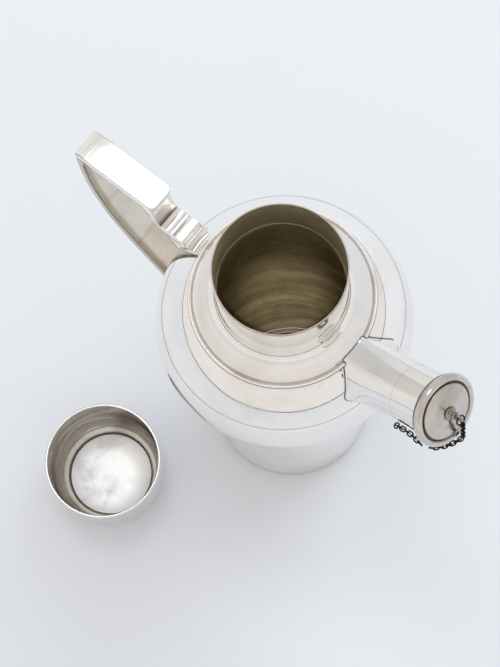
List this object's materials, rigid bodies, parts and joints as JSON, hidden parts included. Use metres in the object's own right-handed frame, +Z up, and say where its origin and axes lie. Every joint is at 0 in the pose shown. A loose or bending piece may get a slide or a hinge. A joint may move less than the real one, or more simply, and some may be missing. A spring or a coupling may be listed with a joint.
{
  "type": "coffee pot",
  "caption": "Tall silver serving pot with a round belly, open neck, flat strap handle, straight capped spout on a chain, and a push-on lid lying beside it.",
  "frame": {"origin": "centre of the pot's flat underside, on the axis of its turned body", "axes": "+Z up along the pot's axis, +X towards the spout, -X towards the handle"},
  "size_m": [0.2265, 0.1944, 0.255],
  "materials": {
    "silver_body": "mirror polished silver with fine wear",
    "silver_handle": "polished silver, lightly worn edges",
    "silver_spout": "mirror polished silver, tarnish at the solder lines",
    "silver_inside": "tarnished satin silver",
    "silver_lid": "polished silver outside, satin silver inside",
    "silver_cap": "polished silver with dark grooves",
    "chain_oxidised": "dark oxidised silver"
  },
  "bodies": {
    "pot": {"body_shell": "silver_body", "shoulder_tier": "silver_body", "neck_collar": "silver_body", "foot_ring": "silver_body", "base_plate": "silver_inside", "spout_tube": "silver_spout", "spout_strainer": "silver_inside", "chain_lug": "silver_spout", "handle_top_bar": "silver_handle", "handle_bracket": "silver_handle", "handle_strap": "silver_handle"},
    "lid": {"lid_shell": "silver_lid", "lid_top_disc": "silver_lid", "lid_rim_wire": "silver_lid"},
    "spout_cap": {"cap_bead": "silver_cap", "cap_disc": "silver_cap", "cap_sleeve": "silver_cap", "cap_finial": "silver_cap"},
    "cap_chain": {"cap_jump_ring": "chain_oxidised", "cap_link_01": "chain_oxidised", "cap_link_02": "chain_oxidised", "cap_link_03": "chain_oxidised", "cap_link_04": "chain_oxidised", "cap_link_05": "chain_oxidised", "cap_link_06": "chain_oxidised", "cap_link_07": "chain_oxidised", "cap_link_08": "chain_oxidised", "cap_link_09": "chain_oxidised", "cap_link_10": "chain_oxidised", "cap_link_11": "chain_oxidised", "cap_link_12": "chain_oxidised", "cap_link_13": "chain_oxidised", "cap_link_14": "chain_oxidised", "cap_link_15": "chain_oxidised", "cap_link_16": "chain_oxidised"},
    "lug_chain": {"lug_jump_ring": "chain_oxidised", "lug_link_01": "chain_oxidised", "lug_link_02": "chain_oxidised", "lug_link_03": "chain_oxidised", "lug_link_04": "chain_oxidised", "lug_link_05": "chain_oxidised", "lug_link_06": "chain_oxidised"}
  },
  "joints": [
    {"name": "lid_lift", "type": "slide", "parent": "pot", "child": "lid", "axis": [0, 0, 1], "range_m": [0, 0.26]},
    {"name": "cap_pull", "type": "slide", "parent": "pot", "child": "spout_cap", "axis": [0.8271, 0, 0.5621], "range_m": [0, 0.03]},
    {"name": "cap_chain_swing", "type": "hinge", "parent": "spout_cap", "child": "cap_chain", "pos_m": [0.10012, 0, 0.23086], "axis": [0, -1, 0], "range_deg": [0, 60]},
    {"name": "lug_chain_swing", "type": "hinge", "parent": "pot", "child": "lug_chain", "pos_m": [0.07859, -0.01574, 0.21113], "axis": [0.5429, 0.2588, -0.7989], "range_deg": [0, 110]}
  ]
}
